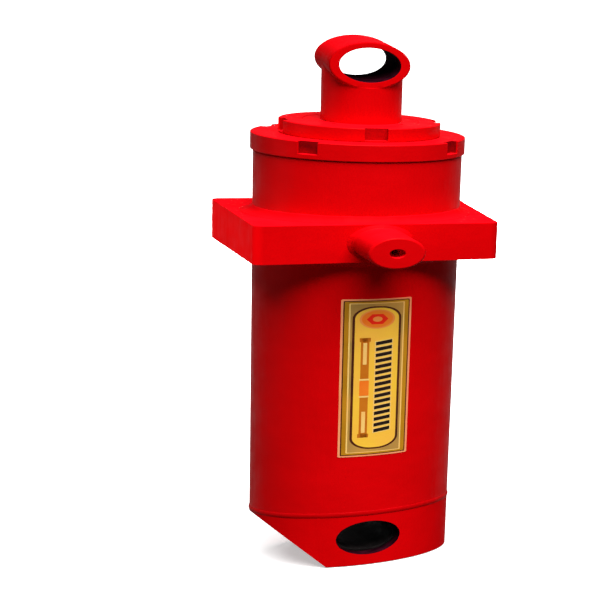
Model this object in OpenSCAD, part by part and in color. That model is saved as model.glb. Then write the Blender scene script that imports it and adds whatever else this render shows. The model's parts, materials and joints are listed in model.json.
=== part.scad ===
// Telescopic hydraulic cylinder: a barrel with a trunnion block, two hollow stages and a plunger, closed.
// Millimetres. +Z runs up the stages and the origin is the centre of the base's underside.
// The trunnion pins and both eye bores lie along Y, and the oil port is in the pin at -Y.

/* [Barrel] */
// Outside diameter of the barrel tube
barrel_od = 194; // [190:1:198]
// Wall thickness of the barrel tube
barrel_wall = 10; // [9:0.5:11]
// Height of the barrel tube's upper end above the base
barrel_top = 730; // [715:5:760]

/* [Base] */
// Height of the end block below the weld seam
base_h = 99; // [96:1:104]
// Height of the cross bore's axis above the base
base_bore_z = 52; // [50:1:54]
// Diameter of the cross bore, where the bush is pressed in
base_bore_d = 63.5; // [62:0.5:66]
// Distance from the barrel's axis to the slanted cut, along the underside
cut_foot = 40; // [36:1:60]
// Height at which the slanted cut meets the side of the block
cut_h = 94; // [80:1:94]

/* [Trunnion] */
// Width of the trunnion block across X
block_w = 233; // [225:1:245]
// Steel left between the barrel and the block's front and rear faces
block_cheek = 13; // [13:0.5:16]
// Height of the trunnion block
block_h = 65; // [64:1:75]
// Height of the block's underside above the base
block_z = 562; // [520:1:580]
// Radius of the block's upright edges
block_edge_r = 9; // [4:1:12]
// Leg of the welds between the block and the barrel
block_fillet = 12; // [8:1:12]
// Diameter of each trunnion pin
pin_d = 55; // [50:1:55]
// Length of each trunnion pin beyond the block
pin_len = 80; // [70:1:100]
// Bore of the oil port at its thread, for a G3/8 fitting
port_d = 14.95; // [13:0.05:15.25]
// Depth of the oil port's thread
port_depth = 16; // [12:1:20]

/* [Stages] */
// Outside diameter of the first stage
stage_1_od = 145; // [143:1:147]
// Outside diameter of the second stage
stage_2_od = 108; // [107:1:110]
// Outside diameter of the plunger
plunger_od = 75; // [74:1:76]
// Wall thickness of the first stage
stage_1_wall = 10; // [9.5:0.5:10]
// Wall thickness of the second stage
stage_2_wall = 9; // [8.5:0.5:9]
// Wall thickness of the plunger
plunger_wall = 12; // [8:1:14]
// Travel of each stage and of the plunger
stroke = 500; // [440:5:515]

/* [Gland nuts] */
// Rim diameter of the barrel's gland nut
nut_1_d = 199; // [199:0.5:204]
// Rim height of the barrel's gland nut
nut_1_h = 29; // [26:1:32]
// Rim diameter of the first stage's gland nut
nut_2_d = 150; // [149:0.5:153]
// Rim height of the first stage's gland nut
nut_2_h = 22.6; // [20:0.1:26]
// Length of the skirt that screws into each tube
skirt_h = 45; // [42:1:48]

/* [Rod eye] */
// Height from the barrel's gland nut to the rod eye's axis
eye_rise = 121.4; // [118:0.1:140]
// Outside diameter of the rod eye
eye_od = 76.2; // [76.2:0.1:80]
// Length of the rod eye along Y
eye_len = 73; // [66:1:76]
// Bore of the rod eye and of the base's bush, for the hinge pins
hinge_bore_d = 57.15; // [56:0.05:58]

/* [Label] */
// Angle that the label covers round the barrel
label_span = 41; // [36:1:48]
// Angle of the label's middle from the front, towards +X
label_turn = 1; // [-5:1:5]
// Height of the label's lower edge above the base
label_z = 208; // [180:1:230]
// Height of the label
label_h = 286; // [250:1:300]
// Thickness of the label
label_t = 0.8; // [0.5:0.1:1.5]

/* [Hidden] */
$fn = 96;

// Radii of the tubes, outside and inside
barrel_r = barrel_od / 2;
barrel_bore_r = barrel_r - barrel_wall;
stage_1_r = stage_1_od / 2;
stage_1_bore_r = stage_1_r - stage_1_wall;
stage_2_r = stage_2_od / 2;
stage_2_bore_r = stage_2_r - stage_2_wall;
plunger_r = plunger_od / 2;
plunger_bore_r = plunger_r - plunger_wall;

// Clearances: between parts that slide, between assembled parts and between faces that come to rest together
run_gap = 0.05;
seat_gap = 0.05;
rest_gap = 0.4;

// How far a cut runs past the face it opens, and the usual broken edge
through = 1;
edge = 1;

// Base
spigot_h = 12;
bush_recess = 22;
weld_w = 11;
weld_rise = 2;

// Trunnion
block_d = barrel_od + 2 * block_cheek;
pin_z = block_z + block_h / 2;
pin_end = block_d / 2 + pin_len;
pin_edge = 2;
shoulder_h = 6;
shoulder_step = 1;
spigot_r = 20;
oil_way_r = 4.5;
pin_fillet = 4;

// Points on a weld's rounded face, as fractions of its leg
fillet_profile = [[0.8, 0.28], [0.55, 0.55], [0.28, 0.8]];

// Gland nuts; each slot is given by its width, its depth into the rim and its height, and each turn is the
// angle of the first slot or hole from the front
nut_gap = 1;
nut_1_z = barrel_top + nut_gap;
nut_1_top = nut_1_z + nut_1_h;
nut_2_z = nut_1_top + rest_gap;
nut_2_top = nut_2_z + nut_2_h;
nut_3_drop = 0.3;
nut_3_top = nut_2_top - nut_3_drop;
nut_3_seal_h = 17;
nut_3_h = skirt_h + nut_3_seal_h;
nut_3_wall = 5;
nut_3_rim_h = 4;
nut_3_seat = nut_3_top - nut_3_rim_h;
nut_1_foot = nut_1_z - skirt_h;
nut_2_foot = nut_2_z - skirt_h;
nut_3_foot = nut_3_top - nut_3_h;
nut_1_slots = 4;
nut_1_turn = -40;
nut_1_slot = [20, 7, 21];
nut_2_slots = 4;
nut_2_turn = 0;
nut_2_slot_floor = 2;
nut_2_slot = [22, 6, nut_2_h - nut_2_slot_floor];
nut_3_holes = 4;
nut_3_turn = 45;
nut_3_hole_r = 2;
nut_3_hole_depth = 8;

// Seals and bearings, as depths below the top of the nut
wiper_top = 4;
wiper_h = 6;
seal_top = 16;
seal_h = 10;
seal_w = 4.5;
bearing_top = 34;
bearing_h = 24;
bearing_w = 3;
o_ring_r = 1.75;
o_ring_rise = 6;
o_ring_groove_h = 2.6 * o_ring_r;
lip = 0.6;

// Feet of the moving tubes
foot_1 = base_h + spigot_h + rest_gap;
floor_h = 8;
foot_2 = foot_1 + floor_h + rest_gap;
foot_3 = foot_2 + floor_h + rest_gap;
snap_z = 4;
snap_h = 4;
snap_depth = 2.5;
snap_stand = 3.5;
snap_mouth = 12;
guide_h = 40;
guide_slots = 6;
guide_turn = 30;
guide_slot_w = 9;
guide_slot_d = 3;
stop_gap = 0.5;
stop_widths = [8, 6, 5];
floor_1_hole_r = stage_2_bore_r - 2;
floor_2_hole_r = plunger_r - 8;
guide_top = snap_z + snap_h + guide_h;

// Plunger and rod eye
eye_z = nut_1_top + eye_rise;
eye_r = eye_od / 2;
head_z = nut_3_top + rest_gap;
head_spigot_h = 22;
head_gap = 0.1;

// A corner of a turned profile, square or cut off by a small 45 degree edge
function corner(r, z, cut, up) = cut > 0
    ? (up ? [[r, z - cut], [r - cut, z]] : [[r - cut, z], [r, z + cut]])
    : [[r, z]];

// A ring or disc about Z, with its outer edges broken by low and high
module ring(outer, inner, z0, z1, low = 0, high = 0) {
    rotate_extrude()
        polygon(concat(
            [[inner, z0]],
            corner(outer, z0, low, false),
            corner(outer, z1, high, true),
            [[inner, z1]]
        ));
}

// Turns a shape made about Z so that its axis points along -Y, from a given distance out
module towards_front(y0) {
    translate([0, -y0, 0])
        rotate([90, 0, 0])
            children();
}

// Repeats a shape around Z, the first one at an angle from the front
module around(count, turn = 0) {
    for (i = [0:count - 1])
        rotate([0, 0, turn + i * 360 / count])
            children();
}

// Notches in the rim of a gland nut for a hook spanner, cut down from the rim's top
module spanner_slots(rim_r, top, slot, count, turn) {
    around(count, turn)
        translate([-slot[0] / 2, -rim_r - through, top - slot[2]])
            cube([slot[0], slot[1] + through, slot[2] + through]);
}

// Grooves in a gland nut's bore for its wiper, rod seal and bearing
module gland_grooves(rod_r, top) {
    bore = rod_r - through;
    ring(rod_r + seal_w, bore, top - wiper_top - wiper_h, top - wiper_top);
    ring(rod_r + seal_w, bore, top - seal_top - seal_h, top - seal_top);
    ring(rod_r + bearing_w, bore, top - bearing_top - bearing_h, top - bearing_top);
}

// A groove round a gland nut's skirt for its O-ring
module o_ring_groove(skirt_r, foot) {
    z0 = foot + o_ring_rise;
    ring(skirt_r + through, skirt_r - 2 * o_ring_r - seat_gap, z0, z0 + o_ring_groove_h);
}

// A gland nut with a rim above the tube and a skirt inside it
module rimmed_nut(rim_r, rim_z, rim_top, skirt_r, foot, rod_r) {
    difference() {
        union() {
            ring(rim_r, rod_r + run_gap, rim_z, rim_top, edge, edge);
            ring(skirt_r, rod_r + run_gap, foot, rim_z + through, edge);
        }
        gland_grooves(rod_r, rim_top);
        o_ring_groove(skirt_r, foot);
        children();
    }
}

// A bearing bush in a gland nut
module gland_bearing(rod_r, top) {
    ring(rod_r + bearing_w - seat_gap, rod_r + run_gap,
        top - bearing_top - bearing_h + seat_gap, top - bearing_top - seat_gap);
}

// A rod seal with a lip that faces the oil below it
module gland_seal(rod_r, top) {
    z0 = top - seal_top - seal_h + seat_gap;
    z1 = top - seal_top - seat_gap;
    outer = rod_r + seal_w - seat_gap;
    mid = rod_r + seal_w / 2;
    rotate_extrude()
        polygon([
            [rod_r + run_gap, z0], [mid - lip, z0], [mid, z0 + seal_h / 2], [mid + lip, z0],
            [outer, z0], [outer, z1], [rod_r + lip, z1], [rod_r + lip, z0 + seal_h / 2],
            [rod_r + run_gap, z0 + lip]
        ]);
}

// A wiper with its lip at the top, where it scrapes the rod clean
module gland_wiper(rod_r, top) {
    z0 = top - wiper_top - wiper_h + seat_gap;
    z1 = top - wiper_top - seat_gap;
    outer = rod_r + seal_w - seat_gap;
    rotate_extrude()
        polygon([
            [rod_r + 2 * lip, z0], [outer, z0], [outer, z1],
            [rod_r + run_gap, z1], [rod_r + run_gap, z1 - lip], [rod_r + 2 * lip, z1 - 3 * lip]
        ]);
}

// An O-ring in the groove round a gland nut's skirt
module gland_o_ring(bore_r, foot) {
    translate([0, 0, foot + o_ring_rise + o_ring_groove_h / 2])
        rotate_extrude()
            translate([bore_r - o_ring_r - seat_gap, 0])
                circle(r = o_ring_r, $fn = 24);
}

// A moving tube with a groove near its foot for the snap ring
module stage_tube(outer, inner, z0, z1) {
    difference() {
        ring(outer, inner, z0, z1, edge, edge);
        ring(outer + through, outer - snap_depth, z0 + snap_z, z0 + snap_z + snap_h);
    }
}

// Grooves along the outside of a ring that let oil past it
module oil_slots(outer, z0, z1) {
    around(guide_slots, guide_turn)
        translate([-guide_slot_w / 2, -outer - through, z0 - through])
            cube([guide_slot_w, guide_slot_d + through, z1 - z0 + 2 * through]);
}

// A guide ring that runs in the next larger bore
module guide_ring(bore_r, tube_r, foot) {
    z0 = foot + snap_z + snap_h + seat_gap;
    z1 = foot + guide_top;
    outer = bore_r - run_gap;
    difference() {
        ring(outer, tube_r + run_gap, z0, z1, edge, edge);
        oil_slots(outer, z0, z1);
    }
}

// A stop ring that meets the gland nut above it at full stroke
module stop_ring(tube_r, width, foot, nut_foot) {
    ring(tube_r + width, tube_r + run_gap, foot + guide_top + seat_gap, nut_foot - stroke - stop_gap,
        edge, edge);
}

// An open snap ring in the groove near a tube's foot
module snap_ring(tube_r, foot) {
    z0 = foot + snap_z + seat_gap;
    z1 = foot + snap_z + snap_h - seat_gap;
    difference() {
        ring(tube_r + snap_stand, tube_r - snap_depth + seat_gap, z0, z1);
        translate([-snap_mouth / 2, 0, z0 - through])
            cube([snap_mouth, tube_r + 2 * snap_stand, snap_h + 2 * through]);
    }
}

// A ring fixed in a tube's foot for the next stage to rest on
module floor_ring(bore_r, foot, hole_r) {
    ring(bore_r - seat_gap, hole_r, foot, foot + floor_h);
}

// A fillet weld round a shaft, between the shaft and a face; it rises along +Z from z = 0
module fillet_weld(shaft_r, leg) {
    rotate_extrude()
        polygon(concat(
            [[shaft_r + seat_gap, seat_gap], [shaft_r + leg, seat_gap]],
            [for (p = fillet_profile) [shaft_r + leg * p[0], leg * p[1]]],
            [[shaft_r + seat_gap, leg]]
        ));
}

module base_block() {
    color("firebrick")
        difference() {
            union() {
                ring(barrel_r, 0, 0, base_h, edge);
                ring(barrel_bore_r - seat_gap, 0, base_h - through, base_h + spigot_h);
            }
            translate([0, 0, base_bore_z])
                towards_front(-barrel_od)
                    cylinder(r = base_bore_d / 2, h = 2 * barrel_od);
            rotate([90, 0, 0])
                translate([0, 0, -barrel_od])
                    linear_extrude(2 * barrel_od)
                        polygon([
                            [-cut_foot, 0], [-barrel_r, cut_h], [-barrel_od, cut_h],
                            [-barrel_od, -through], [-cut_foot, -through]
                        ]);
        }
}

module base_bush() {
    half = barrel_r - bush_recess;
    color("dimgray")
        translate([0, 0, base_bore_z])
            towards_front(-half)
                ring(base_bore_d / 2 - seat_gap, hinge_bore_d / 2, 0, 2 * half);
}

module base_weld() {
    z = base_h + seat_gap / 2;
    color("firebrick")
        rotate_extrude()
            polygon([
                [barrel_r + seat_gap, z - weld_w / 2], [barrel_r + weld_rise * 0.7, z - weld_w / 3],
                [barrel_r + weld_rise, z], [barrel_r + weld_rise * 0.7, z + weld_w / 3],
                [barrel_r + seat_gap, z + weld_w / 2]
            ]);
}

module barrel_tube() {
    color("red")
        difference() {
            ring(barrel_r, barrel_bore_r, base_h + seat_gap, barrel_top, 0, 1.5 * edge);
            translate([0, 0, pin_z])
                towards_front(0)
                    cylinder(r = oil_way_r, h = barrel_od, $fn = 48);
        }
}

module trunnion_block() {
    r = block_edge_r;
    color("red")
        difference() {
            translate([0, 0, block_z])
                linear_extrude(block_h)
                    difference() {
                        union() {
                            square([block_w - 2 * r, block_d], center = true);
                            square([block_w, block_d - 2 * r], center = true);
                            for (x = [-1, 1], y = [-1, 1])
                                translate([x * (block_w / 2 - r), y * (block_d / 2 - r)])
                                    circle(r = r, $fn = 48);
                        }
                        circle(r = barrel_r + seat_gap);
                    }
            translate([0, 0, pin_z])
                towards_front(-block_d)
                    cylinder(r = spigot_r + seat_gap, h = 2 * block_d);
        }
}

module trunnion_weld_upper() {
    color("red")
        translate([0, 0, block_z + block_h])
            fillet_weld(barrel_r, block_fillet);
}

module trunnion_weld_lower() {
    color("red")
        translate([0, 0, block_z])
            mirror([0, 0, 1])
                fillet_weld(barrel_r, block_fillet);
}

// A trunnion pin that points along -Y, with a shoulder to weld and a spigot in the block
module trunnion_pin() {
    translate([0, 0, pin_z])
        towards_front(block_d / 2) {
            ring(pin_d / 2, 0, seat_gap, pin_len, 0, pin_edge);
            ring(pin_d / 2 + shoulder_step, 0, seat_gap, shoulder_h);
            ring(spigot_r, 0, seat_gap - block_cheek + rest_gap, 2 * edge);
        }
}

module trunnion_pin_front() {
    color("red")
        difference() {
            trunnion_pin();
            translate([0, 0, pin_z])
                towards_front(pin_end - port_depth)
                    cylinder(d = port_d, h = port_depth + through);
            translate([0, 0, pin_z])
                towards_front(0)
                    cylinder(r = oil_way_r, h = pin_end, $fn = 48);
        }
}

module trunnion_pin_rear() {
    color("red")
        rotate([0, 0, 180])
            trunnion_pin();
}

module pin_weld_front() {
    color("red")
        translate([0, 0, pin_z])
            towards_front(block_d / 2)
                fillet_weld(pin_d / 2 + shoulder_step, pin_fillet);
}

module pin_weld_rear() {
    rotate([0, 0, 180])
        pin_weld_front();
}

module barrel_gland_nut() {
    color("red")
        rimmed_nut(nut_1_d / 2, nut_1_z, nut_1_top, barrel_bore_r - seat_gap, nut_1_foot, stage_1_r)
            spanner_slots(nut_1_d / 2, nut_1_top, nut_1_slot, nut_1_slots, nut_1_turn);
}

module barrel_bearing() {
    color("peru")
        gland_bearing(stage_1_r, nut_1_top);
}

module barrel_rod_seal() {
    color("dimgray")
        gland_seal(stage_1_r, nut_1_top);
}

module barrel_wiper() {
    color("dimgray")
        gland_wiper(stage_1_r, nut_1_top);
}

module barrel_o_ring() {
    color("black")
        gland_o_ring(barrel_bore_r, nut_1_foot);
}

module label_plate() {
    color("gold")
        rotate([0, 0, label_turn - 90 - label_span / 2])
            rotate_extrude(angle = label_span)
                translate([barrel_r + seat_gap, label_z])
                    square([label_t, label_h]);
}

module stage_1_tube() {
    color("silver")
        stage_tube(stage_1_r, stage_1_bore_r, foot_1, nut_2_z - seat_gap);
}

module stage_1_guide_ring() {
    color("peru")
        guide_ring(barrel_bore_r, stage_1_r, foot_1);
}

module stage_1_stop_ring() {
    color("gray")
        stop_ring(stage_1_r, stop_widths[0], foot_1, nut_1_foot);
}

module stage_1_snap_ring() {
    color("gray")
        snap_ring(stage_1_r, foot_1);
}

module stage_1_floor_ring() {
    color("gray")
        floor_ring(stage_1_bore_r, foot_1, floor_1_hole_r);
}

module stage_1_gland_nut() {
    color("red")
        rimmed_nut(nut_2_d / 2, nut_2_z, nut_2_top, stage_1_bore_r - seat_gap, nut_2_foot, stage_2_r)
            spanner_slots(nut_2_d / 2, nut_2_top, nut_2_slot, nut_2_slots, nut_2_turn);
}

module stage_1_bearing() {
    color("peru")
        gland_bearing(stage_2_r, nut_2_top);
}

module stage_1_rod_seal() {
    color("dimgray")
        gland_seal(stage_2_r, nut_2_top);
}

module stage_1_wiper() {
    color("dimgray")
        gland_wiper(stage_2_r, nut_2_top);
}

module stage_1_o_ring() {
    color("black")
        gland_o_ring(stage_1_bore_r, nut_2_foot);
}

module stage_2_tube() {
    color("silver")
        difference() {
            stage_tube(stage_2_r, stage_2_bore_r, foot_2, nut_3_seat);
            ring(stage_2_r - nut_3_wall, 0, nut_3_foot, nut_3_seat + through);
        }
}

module stage_2_guide_ring() {
    color("peru")
        guide_ring(stage_1_bore_r, stage_2_r, foot_2);
}

module stage_2_stop_ring() {
    color("gray")
        stop_ring(stage_2_r, stop_widths[1], foot_2, nut_2_foot);
}

module stage_2_snap_ring() {
    color("gray")
        snap_ring(stage_2_r, foot_2);
}

module stage_2_floor_ring() {
    color("gray")
        floor_ring(stage_2_bore_r, foot_2, floor_2_hole_r);
}

// A gland nut inside its tube, with a thin rim no wider than the tube's end, and holes for a pin spanner
module stage_2_gland_nut() {
    outer = stage_2_r - nut_3_wall - seat_gap;
    color("red")
        difference() {
            union() {
                ring(outer, plunger_r + run_gap, nut_3_foot + seat_gap, nut_3_seat + through);
                ring(stage_2_r - seat_gap, plunger_r + run_gap, nut_3_seat + seat_gap, nut_3_top,
                    0, edge / 2);
            }
            gland_grooves(plunger_r, nut_3_top);
            o_ring_groove(outer, nut_3_foot);
            around(nut_3_holes, nut_3_turn)
                translate([0, -outer + 2 * nut_3_hole_r, nut_3_top - nut_3_hole_depth])
                    cylinder(r = nut_3_hole_r, h = nut_3_hole_depth + through, $fn = 32);
        }
}

module stage_2_bearing() {
    color("peru")
        gland_bearing(plunger_r, nut_3_top);
}

module stage_2_rod_seal() {
    color("dimgray")
        gland_seal(plunger_r, nut_3_top);
}

module stage_2_wiper() {
    color("dimgray")
        gland_wiper(plunger_r, nut_3_top);
}

module stage_2_o_ring() {
    color("black")
        gland_o_ring(stage_2_r - nut_3_wall, nut_3_foot);
}

module plunger_guide_ring() {
    color("peru")
        guide_ring(stage_2_bore_r, plunger_r, foot_3);
}

module plunger_stop_ring() {
    color("gray")
        stop_ring(plunger_r, stop_widths[2], foot_3, nut_3_foot);
}

module plunger_tube() {
    color("silver")
        stage_tube(plunger_r, plunger_bore_r, foot_3, head_z - head_gap);
}

module plunger_snap_ring() {
    color("gray")
        snap_ring(plunger_r, foot_3);
}

module plunger_foot() {
    color("gray")
        ring(plunger_bore_r - seat_gap, 0, foot_3, foot_3 + 2 * floor_h);
}

// The plunger's painted neck, hollowed at the top to fit the rod eye
module plunger_head() {
    color("red")
        difference() {
            union() {
                ring(plunger_r, 0, head_z, eye_z);
                ring(plunger_bore_r - seat_gap, 0, head_z - head_spigot_h, head_z + through);
            }
            translate([0, 0, eye_z])
                towards_front(-eye_len)
                    cylinder(r = eye_r + seat_gap, h = 2 * eye_len);
        }
}

module rod_eye() {
    color("red")
        translate([0, 0, eye_z])
            towards_front(-eye_len / 2)
                ring(eye_r, hinge_bore_d / 2, 0, eye_len, edge, edge);
}

base_block();
base_bush();
base_weld();
barrel_tube();
trunnion_block();
trunnion_weld_upper();
trunnion_weld_lower();
trunnion_pin_front();
trunnion_pin_rear();
pin_weld_front();
pin_weld_rear();
barrel_gland_nut();
barrel_bearing();
barrel_rod_seal();
barrel_wiper();
barrel_o_ring();
label_plate();
stage_1_tube();
stage_1_guide_ring();
stage_1_stop_ring();
stage_1_snap_ring();
stage_1_floor_ring();
stage_1_gland_nut();
stage_1_bearing();
stage_1_rod_seal();
stage_1_wiper();
stage_1_o_ring();
stage_2_tube();
stage_2_guide_ring();
stage_2_stop_ring();
stage_2_snap_ring();
stage_2_floor_ring();
stage_2_gland_nut();
stage_2_bearing();
stage_2_rod_seal();
stage_2_wiper();
stage_2_o_ring();
plunger_guide_ring();
plunger_stop_ring();
plunger_tube();
plunger_snap_ring();
plunger_foot();
plunger_head();
rod_eye();
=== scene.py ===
"""The looks of the telescopic hydraulic cylinder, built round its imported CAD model.
All lengths are in metres, on the model's own axes: +Z up the cylinder, the front pin along -Y."""

import json
import math

import bmesh
import bpy
from mathutils import Matrix, Vector, noise


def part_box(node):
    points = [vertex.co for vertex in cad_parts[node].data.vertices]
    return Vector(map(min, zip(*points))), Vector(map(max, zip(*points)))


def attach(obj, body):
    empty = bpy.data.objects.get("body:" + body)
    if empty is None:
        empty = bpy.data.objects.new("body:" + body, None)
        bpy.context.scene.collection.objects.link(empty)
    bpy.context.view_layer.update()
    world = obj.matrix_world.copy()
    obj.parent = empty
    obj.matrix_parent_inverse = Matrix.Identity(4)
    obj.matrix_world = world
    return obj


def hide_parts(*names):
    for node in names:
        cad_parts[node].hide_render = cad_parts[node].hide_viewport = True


MM = 0.001

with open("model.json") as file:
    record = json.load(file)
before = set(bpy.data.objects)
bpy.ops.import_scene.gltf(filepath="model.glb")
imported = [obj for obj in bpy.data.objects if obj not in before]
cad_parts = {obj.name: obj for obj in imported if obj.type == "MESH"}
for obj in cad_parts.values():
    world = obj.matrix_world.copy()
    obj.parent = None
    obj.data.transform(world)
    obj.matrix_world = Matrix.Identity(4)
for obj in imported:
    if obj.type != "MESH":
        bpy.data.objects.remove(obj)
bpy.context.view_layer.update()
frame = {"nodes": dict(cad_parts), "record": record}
nodes = frame["nodes"]

# Places and sizes, read from the frame
BARREL_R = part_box("barrel_tube")[1].x
SEAM_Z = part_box("barrel_tube")[0].z
BLOCK_LOW, BLOCK_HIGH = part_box("trunnion_block")
PIN_Z = (BLOCK_LOW.z + BLOCK_HIGH.z) / 2
PIN_WELD_LOW, PIN_WELD_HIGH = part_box("pin_weld_front")
BLOCK_WELD_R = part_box("trunnion_weld_upper")[1].x
EYE_LOW, EYE_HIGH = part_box("rod_eye")
EYE_R = (EYE_HIGH.x - EYE_LOW.x) / 2
EYE_Z = (EYE_HIGH.z + EYE_LOW.z) / 2
MOUNTS = {mount["name"]: mount for mount in frame["record"]["mounts"]}
HINGE_R = MOUNTS["rod_eye"]["dims"]["r_mm"] * MM
NECK_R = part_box("plunger_head")[1].x
BUSH_LOW, BUSH_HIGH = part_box("base_bush")
BUSH_R = (BUSH_HIGH.z - BUSH_LOW.z) / 2
BUSH_Z = (BUSH_HIGH.z + BUSH_LOW.z) / 2
LABEL_LOW, LABEL_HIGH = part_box("label_plate")


# ---------------------------------------------------------------- camera, floor and lights

def add_camera():
    """The photograph is stretched sideways by about 1.84, which no plain camera does. A camera whose
    picture plane leans away from it does nearly the same, so the camera hangs on a mount with a leaning
    set of axes: lean and rise turn the picture's across, and tilt its upward, out of the plain plane."""
    azimuth = math.radians(10.69)
    elevation = math.radians(13.87)
    roll = math.radians(0.55)
    lean = math.radians(-59.33)
    rise = -0.018
    tilt = 0.320
    distance = 5.5
    aside = -0.0527
    aim_z = 0.4709
    focal_pixels = 3047
    frame_pixels = 600
    sensor = 36

    forward = Vector((
        math.sin(azimuth) * math.cos(elevation),
        math.cos(azimuth) * math.cos(elevation),
        -math.sin(elevation),
    ))
    level = Vector((math.cos(azimuth), -math.sin(azimuth), 0))
    upright = level.cross(forward)
    right = level * math.cos(roll) + upright * math.sin(roll)
    up = upright * math.cos(roll) - level * math.sin(roll)
    place = right * aside + Vector((0, 0, aim_z)) - forward * distance
    across = (right * math.cos(lean) + forward * math.sin(lean) + up * rise).normalized()
    upward = (up + forward * tilt).normalized()

    data = bpy.data.cameras.new("photo_camera")
    data.sensor_width = sensor
    data.lens = focal_pixels * sensor / frame_pixels
    data.clip_end = 100
    camera = bpy.data.objects.new("photo_camera", data)
    mount = bpy.data.objects.new("camera_mount", None)
    for item in (camera, mount):
        bpy.context.scene.collection.objects.link(item)
    camera.parent = mount
    camera.matrix_parent_inverse = Matrix((
        (across.x, upward.x, -forward.x, place.x),
        (across.y, upward.y, -forward.y, place.y),
        (across.z, upward.z, -forward.z, place.z),
        (0, 0, 0, 1),
    ))
    bpy.context.scene.camera = camera


def add_light(name, kind, place, target, power):
    data = bpy.data.lights.new(name, kind)
    data.energy = power
    light = bpy.data.objects.new(name, data)
    light.location = place
    light.rotation_euler = (Vector(target) - Vector(place)).to_track_quat("-Z", "Y").to_euler()
    bpy.context.scene.collection.objects.link(light)
    return light


def add_panel(name, place, target, size, power, mirrored=True):
    """A rectangular panel of light, by its size across and up. One that isn't mirrored makes no highlight."""
    panel = add_light(name, "AREA", place, target, power)
    panel.data.shape = "RECTANGLE"
    panel.data.size, panel.data.size_y = size
    panel.visible_glossy = mirrored
    return panel


def shine_only_on(light, receivers):
    """Keeps a light to some objects, as a flag in front of a lamp does in a studio."""
    lit = bpy.data.collections.new(light.name + "_receivers")
    for item in receivers:
        lit.objects.link(item)
    light.light_linking.receiver_collection = lit


def add_world(lighting, mirrored, seen):
    """Even light from all round: how strong it is as light, in reflections, and where the camera sees it."""
    world = bpy.data.worlds.new("studio")
    bpy.context.scene.world = world
    world.use_nodes = True
    tree = world.node_tree
    background = tree.nodes["Background"]
    background.inputs["Color"].default_value = (1, 1, 1, 1)
    path = tree.nodes.new("ShaderNodeLightPath")
    strength = lighting
    for ray, level in (("Is Glossy Ray", mirrored), ("Is Camera Ray", seen)):
        step = tree.nodes.new("ShaderNodeMix")
        tree.links.new(path.outputs[ray], step.inputs["Factor"])
        if isinstance(strength, bpy.types.NodeSocket):
            tree.links.new(strength, step.inputs["A"])
        else:
            step.inputs["A"].default_value = strength
        step.inputs["B"].default_value = level
        strength = step.outputs["Result"]
    tree.links.new(strength, background.inputs["Strength"])


# ---------------------------------------------------------------- materials

class Paint:
    """A procedural material, put together from short calls. Patterns are in metres, on the model's axes."""

    def __init__(self, name):
        self.material = bpy.data.materials.new(name)
        self.material.use_nodes = True
        self.tree = self.material.node_tree
        self.shader = self.tree.nodes["Principled BSDF"]
        self.place = self.add("ShaderNodeTexCoord").outputs["Object"]

    def add(self, kind, links=None, **settings):
        """Adds a node. links gives each input a value, or another node's output."""
        made = self.tree.nodes.new(kind)
        for key, value in settings.items():
            setattr(made, key, value)
        for key, value in (links or {}).items():
            if isinstance(value, bpy.types.NodeSocket):
                self.tree.links.new(value, made.inputs[key])
            else:
                made.inputs[key].default_value = value
        return made

    def noise(self, size, detail=3, scale=(1, 1, 1), roughness=0.5):
        """Smooth noise whose features are about size metres across, longer along an axis scaled under 1."""
        place = self.add("ShaderNodeMapping", {"Vector": self.place, "Scale": scale}).outputs["Vector"]
        return self.add("ShaderNodeTexNoise", {
            "Vector": place, "Scale": 1 / size, "Detail": detail, "Roughness": roughness,
        }).outputs["Fac"]

    def between(self, value, low, high, to_low=0.0, to_high=1.0):
        """Maps low to high onto to_low to to_high, and goes no further at either end."""
        return self.add("ShaderNodeMapRange", {
            "Value": value, "From Min": low, "From Max": high, "To Min": to_low, "To Max": to_high,
        }).outputs["Result"]

    def maths(self, operation, a, b):
        return self.add("ShaderNodeMath", {0: a, 1: b}, operation=operation).outputs["Value"]

    def mix(self, factor, a, b):
        """Colour a where the factor is 0, and b where it is 1."""
        made = self.add("ShaderNodeMix", data_type="RGBA")
        for key, value in ((0, factor), (6, a), (7, b)):
            if isinstance(value, bpy.types.NodeSocket):
                self.tree.links.new(value, made.inputs[key])
            else:
                made.inputs[key].default_value = value if key == 0 else (*value, 1)
        return made.outputs[2]

    def bump(self, height, distance, below=None):
        """Relief of a given depth, laid over the relief below it."""
        links = {"Height": height, "Distance": distance}
        if below is not None:
            links["Normal"] = below
        return self.add("ShaderNodeBump", links).outputs["Normal"]

    def facing_up(self):
        """1 where the surface faces up, 0 where it is upright or faces down."""
        normal = self.add("ShaderNodeTexCoord").outputs["Normal"]
        return self.between(self.add("ShaderNodeSeparateXYZ", {0: normal}).outputs["Z"], 0.25, 0.95)

    def within(self, plane, radius, height=0.0):
        """1 inside a round of a given radius, 0 outside it. The round is centred on the cylinder's axis, in
        the XY plane, or in the XZ plane at a given height."""
        axes = self.add("ShaderNodeSeparateXYZ", {0: self.place}).outputs
        other = axes["Y"] if plane == "XY" else self.maths("SUBTRACT", axes["Z"], height)
        squares = [self.maths("MULTIPLY", side, side) for side in (axes["X"], other)]
        return self.maths("LESS_THAN", self.maths("ADD", *squares), radius * radius)

    def set(self, **sockets):
        """Fills the shader's own sockets, named with _ for a space."""
        for key, value in sockets.items():
            socket = self.shader.inputs[key.replace("_", " ")]
            if isinstance(value, bpy.types.NodeSocket):
                self.tree.links.new(value, socket)
            else:
                socket.default_value = (*value, 1) if isinstance(value, tuple) else value
        return self.material


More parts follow.
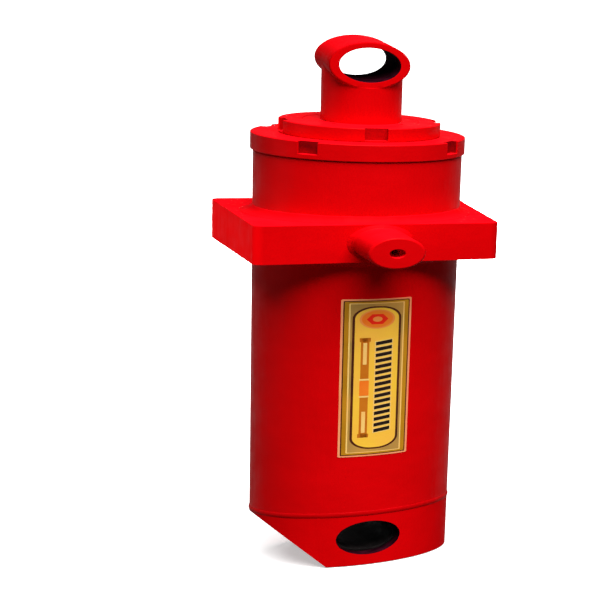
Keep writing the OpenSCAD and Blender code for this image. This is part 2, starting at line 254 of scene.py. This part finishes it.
def red_enamel(name="red_enamel", shade=1.0, sheen=0.02, bore=None, rim=None, slot_shade=0.8):
    """Satin enamel sprayed thick over rough steel, painted lighter and pinker where it faces up, partly as
    dust and partly as a painted reflection of the sky. shade darkens it all over, and sheen is how strongly
    it reflects.
    A bore, given by its radius and height, runs along Y, and is bare steel under old grease, painted near
    black, partly as grease and partly as painted shade. Slots that cut in behind a rim, given by its radius,
    get painted shade on their walls, and the last argument is how dark that painted shade is."""
    p = Paint(name)

    def tone(*colour):
        return tuple(shade * channel for channel in colour)

    patches = p.between(p.noise(0.09, 4), 0.3, 0.7)
    coat = p.mix(patches, tone(0.64, 0.0004, 0.0016), tone(0.72, 0.0005, 0.0022))
    speckle = p.between(p.noise(0.0016, 2), 0.62, 0.78)
    coat = p.mix(p.maths("MULTIPLY", speckle, 0.25), coat, tone(0.54, 0.0004, 0.0012))
    # Upward faces turn a lighter, pinker red: partly dust, partly a painted reflection of the sky on the tops
    dust_and_painted_sheen = p.maths("MULTIPLY", p.facing_up(), p.between(p.noise(0.02, 5), 0.25, 0.75, 0.55, 1.0))
    colour = p.mix(dust_and_painted_sheen, coat, tone(0.80, 0.0025, 0.0080))
    peel = p.noise(0.0028, 2)
    steel = p.noise(0.022, 4)
    sags = p.noise(0.012, 2, scale=(1, 1, 0.14))
    normal = p.bump(sags, 0.0005)
    normal = p.bump(steel, 0.0005, normal)
    normal = p.bump(peel, 0.00006, normal)
    roughness = p.between(p.noise(0.03, 5), 0.3, 0.7, 0.36, 0.50)
    # Inside the bore the enamel gives way to near-black grease: partly real grease, partly painted shade
    if bore:
        inside = p.within("XZ", *bore)
        smears = p.between(p.noise(0.012, 4), 0.35, 0.65)
        grease = p.mix(smears, (0.008, 0.001, 0.003), (0.030, 0.003, 0.008))
        colour = p.mix(inside, colour, grease)
        roughness = p.between(inside, 0, 1, roughness, 0.9)
    # Painted shade on the upright walls of slots behind the rim, darker in patches
    if rim:
        upright = p.maths("SUBTRACT", 1.0, p.facing_up())
        slot_shade_mask = p.maths("MULTIPLY", p.within("XY", rim - 1.5 * MM), upright)
        shade_amount = p.between(p.noise(0.007, 4), 0.3, 0.7, slot_shade - 0.12, slot_shade + 0.12)
        colour = p.mix(p.maths("MULTIPLY", slot_shade_mask, shade_amount), colour, (0.14, 0.001, 0.002))
    return p.set(Base_Color=colour, Roughness=roughness, Normal=normal, Specular_IOR_Level=sheen)


def hard_chrome():
    """Ground and chromed tube: fine rings round the axis and faint oil streaks along it."""
    p = Paint("hard_chrome")
    rings = p.noise(0.004, 5, scale=(1, 1, 9), roughness=0.7)
    oil = p.between(p.noise(0.02, 4, scale=(1, 1, 0.12)), 0.42, 0.62)
    colour = p.mix(oil, (0.86, 0.87, 0.89), (0.74, 0.74, 0.73))
    roughness = p.between(rings, 0.3, 0.7, 0.16, 0.30)
    return p.set(Base_Color=colour, Metallic=1.0, Roughness=roughness, Normal=p.bump(rings, 0.00003))


def turned_metal(name, dark, light, rough):
    """Machined metal with tool marks, and patches of stain."""
    p = Paint(name)
    marks = p.noise(0.003, 5, scale=(1, 1, 6), roughness=0.7)
    stain = p.between(p.noise(0.014, 5), 0.38, 0.66)
    colour = p.mix(stain, light, dark)
    roughness = p.between(marks, 0.3, 0.7, rough, rough + 0.16)
    return p.set(Base_Color=colour, Metallic=1.0, Roughness=roughness, Normal=p.bump(marks, 0.00006))


def greased_shaded_bore():
    """The inside of a bush, near black: partly old grease that lies thicker in patches, partly painted shade.
    """
    p = Paint("greased_shaded_bore")
    grease = p.between(p.noise(0.012, 5), 0.40, 0.60)
    smear = p.noise(0.004, 4, scale=(1, 0.2, 1))
    colour = p.mix(grease, (0.014, 0.011, 0.011), (0.005, 0.004, 0.004))
    roughness = p.between(grease, 0, 1, 0.60, 0.45)
    normal = p.bump(smear, 0.0002)
    return p.set(Base_Color=colour, Roughness=roughness, Normal=normal, Specular_IOR_Level=0.02)


def seal_rubber():
    """Black rubber with a faint grey bloom."""
    p = Paint("seal_rubber")
    bloom = p.between(p.noise(0.006, 4), 0.35, 0.65)
    colour = p.mix(bloom, (0.018, 0.018, 0.020), (0.045, 0.044, 0.046))
    roughness = p.between(bloom, 0, 1, 0.42, 0.58)
    return p.set(Base_Color=colour, Roughness=roughness, Normal=p.bump(p.noise(0.0008, 2), 0.00004))


def printed_foil(name, colour, fade):
    """One ink of the label: it fades towards a second tone in patches, and has fine scuffs that run round
    the barrel."""
    p = Paint("ink_" + name)
    tone = p.mix(p.between(p.noise(0.05, 4), 0.35, 0.65), colour, fade)
    grain = p.between(p.noise(0.0007, 2), 0.3, 0.7)
    tone = p.mix(p.maths("MULTIPLY", grain, 0.06), tone, tuple(0.6 * c for c in colour))
    scuff = p.between(p.noise(0.006, 6, scale=(0.25, 0.25, 4), roughness=0.75), 0.60, 0.72, 0.0, 0.35)
    tone = p.mix(scuff, tone, tuple(min(1.0, 1.25 * c + 0.04) for c in colour))
    roughness = p.between(scuff, 0, 0.35, 0.30, 0.52)
    normal = p.bump(p.noise(0.012, 3), 0.00025)
    return p.set(Base_Color=tone, Roughness=roughness, Normal=normal, Specular_IOR_Level=0.15)


def pale_floor():
    """A pale floor that throws little light back at the object, so that the undersides stay in shade, and is
    grey in reflections. A faint glow that only the camera sees keeps its own shadows light."""
    p = Paint("pale_floor")
    cloud = p.between(p.noise(1.5, 3), 0.3, 0.7)
    pale = p.mix(cloud, (0.84, 0.84, 0.84), (0.88, 0.88, 0.87))
    ray = p.add("ShaderNodeLightPath").outputs
    unseen = p.mix(ray["Is Glossy Ray"], (0.05, 0.05, 0.05), (0.24, 0.24, 0.24))
    colour = p.mix(ray["Is Camera Ray"], unseen, pale)
    glow = p.maths("MULTIPLY", ray["Is Camera Ray"], 0.45)
    p.set(Emission_Color=(1.0, 1.0, 1.0), Emission_Strength=glow)
    return p.set(Base_Color=colour, Roughness=0.75, Specular_IOR_Level=0.1)


# ---------------------------------------------------------------- pieces

def place_piece(name, bm, material, body, stands_for=None, smooth=True):
    """Turns mesh code into a named piece that rides on a body."""
    bmesh.ops.recalc_face_normals(bm, faces=bm.faces)
    mesh = bpy.data.meshes.new(name)
    bm.to_mesh(mesh)
    bm.free()
    for face in mesh.polygons:
        face.use_smooth = smooth
    mesh.materials.append(material)
    piece = bpy.data.objects.new(name, mesh)
    bpy.context.scene.collection.objects.link(piece)
    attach(piece, body)
    if stands_for:
        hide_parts(stands_for)


def add_loops(bm, rings, closed=True):
    """Skins a list of rings of points, each ring closed, and joins the last ring to the first if closed."""
    made = [[bm.verts.new(point) for point in ring] for ring in rings]
    following = made[1:] + made[:1] if closed else made[1:]
    for here, there in zip(made, following):
        for i in range(len(here)):
            j = (i + 1) % len(here)
            bm.faces.new((here[i], here[j], there[j], there[i]))


# Cross-sections in each bead, and how far a bead bulges at even steps from toe to toe
WELD_STEPS = 900
WELD_BULGE = (0.0, 0.30, 0.52, 0.64, 0.70, 0.64, 0.52, 0.30, 0.0)
# How far the ripples lag at the toes, as a share of their pitch, and how common and high the lumps are
RIPPLE_LAG = 0.9
LUMPS_PER_METRE = 60
LUMP_SHARE = 0.16


def weld_section(first, second, root, swell, ripple, along, pitch, seed):
    """One cross-section of a bead between two toes, round its root, hollow if swell is negative. The ripples
    are arcs across the bead, a pitch apart along it."""
    points = [root]
    middle = (first + second) / 2
    outward = (middle - root).normalized()
    width = (second - first).length
    last = len(WELD_BULGE) - 1
    for i, bulge in enumerate(WELD_BULGE):
        share = i / last
        side = 2 * share - 1
        wave = math.cos(2 * math.pi * (along / pitch + RIPPLE_LAG * side * side))
        lumps = noise.noise(Vector((along * LUMPS_PER_METRE + seed, side * 0.6, seed)))
        rise = swell * bulge * (1 + LUMP_SHARE * lumps) + ripple * width * wave * math.sqrt(bulge)
        points.append(first.lerp(second, share) + outward * rise)
    return points


def add_weld(name, path, body, material, pitch, swell, ripple, stands_for=None):
    """A weld bead. path gives the two toes, the root and the run so far, at a share of the way round. ripple
    is the height of the bead's ripples as a share of its width. The name gives the seed of its lumps."""
    seed = float(sum(map(ord, name)) % 97)
    bm = bmesh.new()
    rings = []
    for step in range(WELD_STEPS):
        first, second, root, along = path(step / WELD_STEPS)
        rings.append(weld_section(first, second, root, swell, ripple, along, pitch, seed))
    add_loops(bm, rings)
    place_piece(name, bm, material, body, stands_for)


def polar(radius, angle, z):
    """A point by its distance and direction from the cylinder's axis. Angle 0 is along +X."""
    return Vector((radius * math.cos(angle), radius * math.sin(angle), z))


def wander(angle, coarse, seed, share):
    """1, give or take a share, wandering smoothly round a ring."""
    return 1 + share * noise.noise(Vector((coarse * math.cos(angle), coarse * math.sin(angle), seed)))


def seam_path(turn):
    """The seam between the end block and the barrel, a low bead on a smooth round."""
    angle = 2 * math.pi * turn
    half = 5.2 * MM * wander(angle, 20, 3, 0.10)
    sunk = 0.3 * MM
    return (
        polar(BARREL_R - sunk, angle, SEAM_Z - half),
        polar(BARREL_R - sunk, angle, SEAM_Z + half),
        polar(BARREL_R - 3 * MM, angle, SEAM_Z),
        BARREL_R * angle,
    )


def block_path(z, way):
    """A fillet between the barrel and a face of the trunnion block. way is 1 above the block and -1 below."""
    leg = BLOCK_WELD_R - BARREL_R

    def path(turn):
        angle = 2 * math.pi * turn
        wave = wander(angle, 9, z * 10, 0.05)
        sunk = 0.4 * MM
        return (
            polar(BARREL_R - sunk, angle, z + way * leg * wave),
            polar(BARREL_R + leg * wave, angle, z - way * sunk),
            polar(BARREL_R - sunk, angle, z - way * sunk),
            BARREL_R * angle,
        )

    return path


def pin_path(way):
    """The fillet round the root of a trunnion pin. way is -1 for the front pin and 1 for the rear one."""
    face = BLOCK_HIGH.y * way
    outer = (PIN_WELD_HIGH.x - PIN_WELD_LOW.x) / 2
    leg = PIN_WELD_HIGH.y - PIN_WELD_LOW.y
    inner = outer - leg

    def point(radius, angle, out):
        return Vector((radius * math.cos(angle), face + way * out, PIN_Z + radius * math.sin(angle)))

    def path(turn):
        angle = 2 * math.pi * turn
        wave = wander(angle, 6, way * 7, 0.07)
        sunk = 0.3 * MM
        return (
            point(inner - sunk, angle, leg * wave),
            point(inner + leg * wave, angle, -sunk),
            point(inner - sunk, angle, -sunk),
            inner * angle,
        )

    return path


def saddle_path(turn):
    """The seam where the plunger's neck meets the rod eye: under the eye, and up onto its end faces at the
    front and back."""
    angle = 2 * math.pi * turn
    leg = 4.0 * MM
    sunk = 0.3 * MM
    x = NECK_R * math.cos(angle)
    y = NECK_R * math.sin(angle)
    drop = math.sqrt(EYE_R ** 2 - x * x)
    root = Vector((x, y, EYE_Z - drop))
    out_neck = Vector((math.cos(angle), math.sin(angle), 0))
    out_eye = Vector((x / EYE_R, 0, -drop / EYE_R))
    along_eye = out_neck - out_eye * out_neck.dot(out_eye)
    if along_eye.length > 1e-6:
        along_eye.normalize()
    toe_neck = root + Vector((0, 0, -leg)) - out_neck * sunk
    toe_side = root + along_eye * leg - out_eye * sunk
    toe_end = Vector((x, math.copysign(EYE_HIGH.y - sunk, y), root.z + 0.5 * leg))
    share = min(1.0, max(0.0, 1 + (abs(y) - EYE_HIGH.y) / (1.5 * leg)))
    toe_eye = toe_side.lerp(toe_end, share * share * (3 - 2 * share))
    return toe_neck, toe_eye, root - out_neck * 2 * MM, NECK_R * angle


# ---------------------------------------------------------------- label

# The label's radius, its ends as angles from the front, the direction of its middle, and its size when flat
LABEL_R = -LABEL_LOW.y
LABEL_LEFT = math.asin(LABEL_LOW.x / LABEL_R)
LABEL_RIGHT = math.asin(LABEL_HIGH.x / LABEL_R)
LABEL_TURN = (LABEL_LEFT + LABEL_RIGHT) / 2 - math.pi / 2
LABEL_W = (LABEL_RIGHT - LABEL_LEFT) * BARREL_R
LABEL_H = LABEL_HIGH.z - LABEL_LOW.z
# Gap behind the label, thickness of its sheet, height of each print above the one below, width of its facets
LABEL_GAP = 0.05 * MM
SHEET = 0.35 * MM
LAYER = 0.04 * MM
COLUMN = 1.5 * MM


def arc(centre, radius, start, end, steps=10):
    """Points along an arc, both ends included."""
    angles = (start + (end - start) * i / steps for i in range(steps + 1))
    return [(centre[0] + radius * math.cos(a), centre[1] + radius * math.sin(a)) for a in angles]


def rounded(left, right, low, high, radius):
    """Outline of a rectangle with round corners."""
    quarter = math.pi / 2
    corners = ((right, high, 0), (left, high, 1), (left, low, 2), (right, low, 3))
    points = []
    for x, z, turn in corners:
        centre = (x - radius if x == right else x + radius, z - radius if z == high else z + radius)
        points += arc(centre, radius, turn * quarter, (turn + 1) * quarter)
    return points


def inset(side, end, radius):
    """Outline that keeps the same distance from both sides of the label, and from both ends."""
    half = LABEL_W / 2 - side
    return rounded(-half, half, end, LABEL_H - end, radius)


def regular(centre, radius, sides):
    """Outline of a regular polygon."""
    return arc(centre, radius, 0, 2 * math.pi, sides)[:-1]


def add_print(name, outlines, layer, material, stands_for=None):
    """Thin closed shapes wrapped round the barrel. Outlines are across and up, from the label's lower
    middle. layer is how many prints lie below."""
    bm = bmesh.new()
    for outline in outlines:
        bm.faces.new([bm.verts.new((x, 0, z)) for x, z in outline])
    columns = int(LABEL_W / 2 / COLUMN)
    for i in range(-columns, columns + 1):
        whole = bm.verts[:] + bm.edges[:] + bm.faces[:]
        bmesh.ops.bisect_plane(bm, geom=whole, plane_co=(i * COLUMN, 0, 0), plane_no=(1, 0, 0))
    grown = bmesh.ops.extrude_face_region(bm, geom=bm.faces[:])
    top = LABEL_GAP + SHEET + layer * LAYER
    # Until it is wrapped, a point's y is its height above the barrel
    for vert in grown["geom"]:
        if isinstance(vert, bmesh.types.BMVert):
            vert.co.y = top
    for vert in bm.verts:
        radius = BARREL_R + max(vert.co.y, LABEL_GAP)
        z = LABEL_LOW.z + vert.co.z
        vert.co = polar(radius, LABEL_TURN + vert.co.x / BARREL_R, z)
    place_piece(name, bm, material, "barrel", stands_for, smooth=False)


def add_label():
    """A gold label with nested frames, a plain badge, a drawing of nested tubes and a column of slanted bars.
    Each ink has its colour and the tone that it fades towards."""
    inks = {
        "salmon": ((0.98, 0.40, 0.17), (0.95, 0.28, 0.12)),
        "brown": ((0.050, 0.008, 0.002), (0.095, 0.018, 0.003)),
        "ochre": ((0.44, 0.19, 0.005), (0.56, 0.24, 0.010)),
        "cream": ((0.99, 0.68, 0.20), (0.97, 0.54, 0.14)),
        "bronze": ((0.38, 0.22, 0.055), (0.60, 0.30, 0.060)),
        "amber": ((0.99, 0.50, 0.060), (0.98, 0.58, 0.045)),
        "orange": ((0.93, 0.17, 0.012), (0.95, 0.24, 0.020)),
        "peach": ((0.95, 0.32, 0.070), (0.95, 0.26, 0.045)),
        "red": ((0.88, 0.012, 0.004), (0.92, 0.030, 0.006)),
        "rust": ((0.55, 0.14, 0.006), (0.62, 0.18, 0.010)),
        "black": ((0.009, 0.004, 0.003), (0.016, 0.007, 0.004)),
    }
    ink = {name: printed_foil(name, *tones) for name, tones in inks.items()}

    add_print("label_sheet", [inset(0, 0, 2 * MM)], 0, ink["salmon"], "label_plate")
    frames = (
        ("label_outer_line", 2.2, 2.6, 1.5, "brown"),
        ("label_ochre_band", 3.4, 4.2, 1.2, "ochre"),
        ("label_cream_line", 7.6, 7.0, 1.0, "cream"),
        ("label_inner_band", 9.0, 8.4, 1.0, "bronze"),
        ("label_panel_line", 11.0, 13.0, 21.4, "brown"),
        ("label_panel", 13.4, 15.8, 19.2, "amber"),
    )
    for i, (name, side, end, radius, tone) in enumerate(frames):
        add_print(name, [inset(side * MM, end * MM, radius * MM)], i + 1, ink[tone])

    badge = (0, LABEL_H - 36 * MM)
    layer = len(frames) + 1
    add_print("label_badge_rim", [regular(badge, 17.2 * MM, 48)], layer, ink["peach"])
    add_print("label_badge", [regular(badge, 15.0 * MM, 48)], layer + 1, ink["orange"])
    add_print("label_badge_nut", [regular(badge, 10.5 * MM, 6)], layer + 2, ink["red"])
    add_print("label_badge_hole", [regular(badge, 4.6 * MM, 32)], layer + 3, ink["peach"])

    add_drawing(layer, ink)
    add_bars(layer, ink)


def add_drawing(layer, ink):
    """A drawing of nested tubes, end to end along the label's left side."""
    middle = -11.2 * MM
    low = 35 * MM
    high = LABEL_H - 69 * MM
    half = (high + low) / 2

    def bar(width, z0, z1):
        return rounded(middle - width / 2, middle + width / 2, z0, z1, 0.6 * MM)

    add_print("label_drawing_tubes", [
        bar(8.0 * MM, low, high), bar(10.5 * MM, low, low + 7 * MM), bar(10.5 * MM, high - 7 * MM, high),
    ], layer, ink["rust"])
    add_print("label_drawing_bores", [
        bar(3.6 * MM, low + 9 * MM, low + 48 * MM), bar(3.6 * MM, high - 48 * MM, high - 9 * MM),
    ], layer + 1, ink["cream"])
    add_print("label_drawing_collars", [
        bar(9.5 * MM, half - 17 * MM, half - 14 * MM), bar(9.5 * MM, half + 14 * MM, half + 17 * MM),
    ], layer + 1, ink["cream"])
    block = bar(9.0 * MM, half - 13.5 * MM, half + 13.5 * MM)
    add_print("label_drawing_block", [block], layer + 1, ink["orange"])


def add_bars(layer, ink):
    """A column of slanted bars down the label's right side, black on a pale edge."""
    count = 16
    low = 43 * MM
    high = LABEL_H - 73 * MM
    step = (high - low) / count
    rise = 4.0 * MM
    left = -1.0 * MM
    right = 15.0 * MM

    def slanted(z, half, grow):
        x0 = left - grow
        x1 = right + grow
        return [(x0, z - half), (x1, z - half + rise), (x1, z + half + rise), (x0, z + half)]

    places = [low + step * (i + 0.5) - rise / 2 for i in range(count)]
    add_print("label_bar_edges", [slanted(z, 0.42 * step, 0.9 * MM) for z in places], layer, ink["cream"])
    add_print("label_bars", [slanted(z, 0.30 * step, 0) for z in places], layer + 1, ink["black"])


# ---------------------------------------------------------------- CAD nodes

def merged_smooth():
    """A node group that joins a CAD mesh's split faces, so that a bevel can run along its edges."""
    group = bpy.data.node_groups.new("merged_smooth", "GeometryNodeTree")
    group.interface.new_socket("Geometry", in_out="INPUT", socket_type="NodeSocketGeometry")
    group.interface.new_socket("Geometry", in_out="OUTPUT", socket_type="NodeSocketGeometry")
    start = group.nodes.new("NodeGroupInput")
    end = group.nodes.new("NodeGroupOutput")
    merge = group.nodes.new("GeometryNodeMergeByDistance")
    merge.inputs["Distance"].default_value = 0.001 * MM
    normals = group.nodes.new("GeometryNodeSetMeshNormal")
    normals.mode = "SHARPNESS"
    normals.inputs["Remove Custom"].default_value = True
    group.links.new(start.outputs[0], merge.inputs["Geometry"])
    group.links.new(merge.outputs["Geometry"], normals.inputs["Mesh"])
    group.links.new(normals.outputs["Mesh"], end.inputs[0])
    return group


def soften(name, width, group):
    """Rounds a CAD node's sharp edges with modifiers, which leave its own mesh as it is."""
    node = nodes[name]
    node.modifiers.new("merged_smooth", "NODES").node_group = group
    bevel = node.modifiers.new("round_edges", "BEVEL")
    bevel.width = width
    bevel.segments = 3
    bevel.limit_method = "ANGLE"
    bevel.angle_limit = math.radians(32)
    bevel.use_clamp_overlap = True
    node.modifiers.new("even_normals", "WEIGHTED_NORMAL")


def dress_nodes():
    """Gives every CAD node the material of its slot, or one of its own, and softens the edges that show."""
    looks = {
        "red_paint": RED,
        "label_foil": RED,  # not seen, since the printed sheet stands for the label's plate
        "hard_chrome": hard_chrome(),
        "bronze": turned_metal("bearing_bronze", (0.30, 0.17, 0.06), (0.62, 0.40, 0.16), 0.24),
        "seal_rubber": seal_rubber(),
        "oiled_steel": turned_metal("oiled_steel", (0.10, 0.09, 0.085), (0.34, 0.33, 0.33), 0.26),
        "bush_steel": greased_shaded_bore(),
    }
    for part in frame["record"]["subparts"]:
        nodes[part["node"]].material_slots[0].material = looks[part["material_slot"]]
    margin = 0.3 * MM
    outer_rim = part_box("barrel_gland_nut")[1].x
    inner_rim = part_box("stage_1_gland_nut")[1].x
    own = {
        "rod_eye": red_enamel("rod_eye_enamel", sheen=0.004, bore=(HINGE_R + margin, EYE_Z)),
        "trunnion_block": red_enamel("block_enamel", sheen=0.001),
        "base_block": red_enamel("base_enamel", sheen=0.004, bore=(BUSH_R + margin, BUSH_Z)),
        "barrel_gland_nut": red_enamel("outer_nut_enamel", rim=outer_rim),
        "stage_1_gland_nut": red_enamel("inner_nut_enamel", rim=inner_rim, slot_shade=0.45),
    }
    for name, look in own.items():
        nodes[name].material_slots[0].material = look
    group = merged_smooth()
    widths = {
        "base_block": 1.6, "trunnion_block": 2.2, "trunnion_pin_front": 1.0, "trunnion_pin_rear": 1.0,
        "barrel_gland_nut": 0.7, "stage_1_gland_nut": 0.7, "rod_eye": 0.9, "base_bush": 0.5,
    }
    for name, width in widths.items():
        soften(name, width * MM, group)


def add_floor():
    """A wide round floor just under the cylinder's foot."""
    bm = bmesh.new()
    rings = 6
    reach = 30.0
    steps = 64
    loops = [
        [polar(reach * (k + 1) / rings, 2 * math.pi * i / steps, -1 * MM) for i in range(steps)]
        for k in range(rings)
    ]
    add_loops(bm, loops, closed=False)
    bm.faces.new(bm.verts[:steps])
    bmesh.ops.recalc_face_normals(bm, faces=bm.faces)
    mesh = bpy.data.meshes.new("floor")
    bm.to_mesh(mesh)
    bm.free()
    mesh.materials.append(pale_floor())
    floor = bpy.data.objects.new("floor", mesh)
    bpy.context.scene.collection.objects.link(floor)


# ---------------------------------------------------------------- the scene

bpy.context.scene.view_settings.view_transform = "Standard"
RED = red_enamel()
DULL = red_enamel("dull_enamel", shade=0.96, sheen=0.004)
# The seam bead's enamel is darker all over: painted shade that gives the seam its dark line
SEAM_SHADED_RED = red_enamel("seam_shaded_enamel", shade=0.72)

add_camera()
add_world(lighting=0.03, mirrored=0.16, seen=1.0)
key = add_light("key", "SUN", (0.02, -1.0, 2.25), (0, 0, 0), 6.7)
key.data.angle = math.radians(46)
add_panel("overhead", (0.0, -1.0, 2.3), (0, 0, 0.75), (0.9, 0.9), 4)
add_panel("left", (-2.2, 0.5, 0.4), (0, 0, 0.3), (0.8, 1.0), 4)
add_panel("rear", (0.56, 2.95, 0.5), (0, 0, 0.45), (0.8, 1.2), 60, mirrored=False)
block_light = add_panel("block_left", (-2.4, -0.2, 0.85), (0, 0, 0.5), (0.8, 1.4), 38, mirrored=False)
shine_only_on(block_light, [nodes["trunnion_block"]])
add_floor()

dress_nodes()
add_weld(
    "seam_bead", seam_path, "barrel", SEAM_SHADED_RED,
    pitch=4.2 * MM, swell=1.6 * MM, ripple=0.003, stands_for="base_weld",
)
add_weld(
    "block_bead_upper", block_path(BLOCK_HIGH.z, 1), "barrel", DULL,
    pitch=6.0 * MM, swell=-2.8 * MM, ripple=0.002, stands_for="trunnion_weld_upper",
)
add_weld(
    "block_bead_lower", block_path(BLOCK_LOW.z, -1), "barrel", RED,
    pitch=6.0 * MM, swell=2.2 * MM, ripple=0.022, stands_for="trunnion_weld_lower",
)
add_weld(
    "pin_bead_front", pin_path(-1), "barrel", DULL,
    pitch=3.6 * MM, swell=0.2 * MM, ripple=0.006, stands_for="pin_weld_front",
)
add_weld(
    "pin_bead_rear", pin_path(1), "barrel", DULL,
    pitch=3.6 * MM, swell=0.4 * MM, ripple=0.014, stands_for="pin_weld_rear",
)
add_weld("eye_bead", saddle_path, "plunger", DULL, pitch=3.8 * MM, swell=0.3 * MM, ripple=0.006)
add_label()
